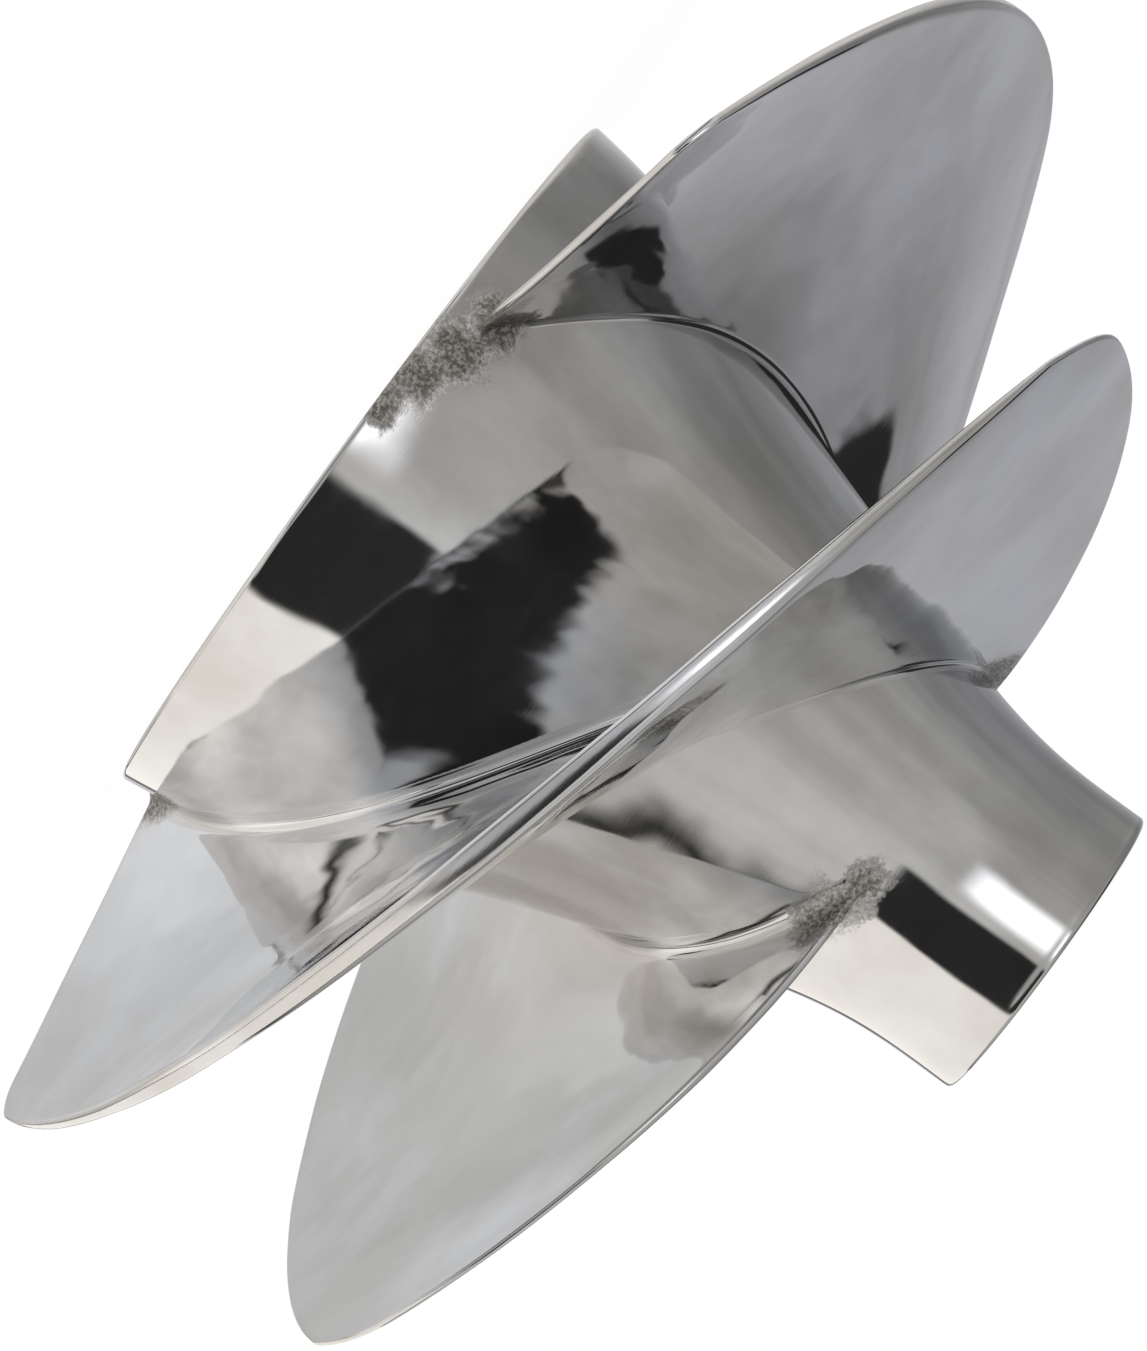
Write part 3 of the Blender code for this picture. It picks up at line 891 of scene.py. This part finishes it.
# Light from above and below the horizon: angle and colour, neutral or cool behind, warmer at the sides
UPPER_WALLS = (
    (-180, (0.42, 0.42, 0.44)), (-120, (0.26, 0.26, 0.26)), (-60, (0.45, 0.44, 0.42)),
    (0, (0.65, 0.64, 0.62)), (75, (0.70, 0.68, 0.65)), (120, (0.65, 0.62, 0.58)),
    (150, (0.30, 0.30, 0.30)), (180, (0.42, 0.42, 0.44)),
)
LOWER_WALLS = (
    (-180, (0.80, 0.80, 0.80)), (-90, (0.90, 0.85, 0.80)), (-20, (0.75, 0.75, 0.75)),
    (30, (0.60, 0.60, 0.60)), (65, (1.10, 1.05, 0.98)), (100, (1.25, 1.19, 1.11)),
    (125, (0.75, 0.70, 0.65)), (180, (0.80, 0.80, 0.80)),
)
SOFTBOX = (1.20, 1.14, 1.06)
LAMP = (2.20, 2.20, 2.30)
FLAG = (0.03, 0.03, 0.03)
# Panels round the part: their sides and rows, how soft their edges are, all in degrees, and their colour.
# The first is the softbox's rim.
PANELS = (
    ((46, 164), (-14, 34), 2.0, FLAG),
    ((50, 160), (-10, 30), 2.0, SOFTBOX),
    ((-20, 0), (0, 15), 5.0, LAMP),
    ((10, 50), (0, 30), 2.0, FLAG),
    ((-70, 35), (-50, -35), 2.0, FLAG),
    ((-160, -90), (50, 75), 2.0, FLAG),
)


def make_studio():
    """White all round to the eye. The part is lit by soft walls, a large softbox on the right and a narrow
    lamp in front, with black flags that give the polished metal something dark to mirror.
    """
    world = bpy.data.worlds.new("studio")
    bpy.context.scene.world = world
    world.use_nodes = True
    graph = Graph(world.node_tree)
    direction = graph.add("ShaderNodeTexCoord", output=0)
    split = world.node_tree.nodes.new("ShaderNodeSeparateXYZ")
    graph.set(split.inputs[0], direction)
    forward = graph.math("MULTIPLY", split.outputs[1], -1.0)
    degrees = 180 / np.pi
    azimuth = graph.math("MULTIPLY", graph.math("ARCTAN2", split.outputs[0], forward), degrees)
    elevation = graph.math("MULTIPLY", graph.math("ARCSINE", split.outputs[2]), degrees)

    upper = walls(graph, azimuth, UPPER_WALLS)
    lower = walls(graph, azimuth, LOWER_WALLS)
    light = graph.mix(graph.smooth_step(elevation, -6.0, 6.0), lower, upper)
    clouds = graph.smooth_step(graph.noise(direction, 1.6, 5.0, 0.55), 0.3, 0.7, 0.8, 1.2)
    light = graph.add("ShaderNodeVectorMath", light, clouds, operation="MULTIPLY")
    for sides, rows, soft, colour in PANELS:
        share = panel(graph, azimuth, elevation, sides, rows, soft)
        light = graph.mix(share, light, (*colour, 1))
    seen = graph.add("ShaderNodeLightPath", output=0)
    light = graph.mix(seen, light, (1, 1, 1, 1))
    background = world.node_tree.nodes["Background"]
    graph.set(background.inputs[0], light)


def main():
    polished = polished_stainless()
    cast = cast_stainless()
    machined = turned_metal("machined_steel", (0.52, 0.52, 0.52, 1), (0.4, 0.39, 0.38, 1), 0.28, 6.0)
    bronze = turned_metal("bronze", (0.6, 0.38, 0.17, 1), (0.42, 0.25, 0.11, 1), 0.32, 5.0)
    spring = turned_metal("spring_steel", (0.2, 0.2, 0.21, 1), (0.12, 0.115, 0.12, 1), 0.34, 4.0)
    rubber = black_rubber()
    make_camera()
    make_hub(polished, cast)
    make_blades(polished)
    make_core(cast)
    make_ribs(cast)
    make_threaded_bush(bronze)
    make_spline_sleeve(machined)
    make_snap_ring(spring)
    make_rubber(rubber)
    make_floor()
    make_studio()
    bpy.context.scene.view_settings.view_transform = "Standard"


main()
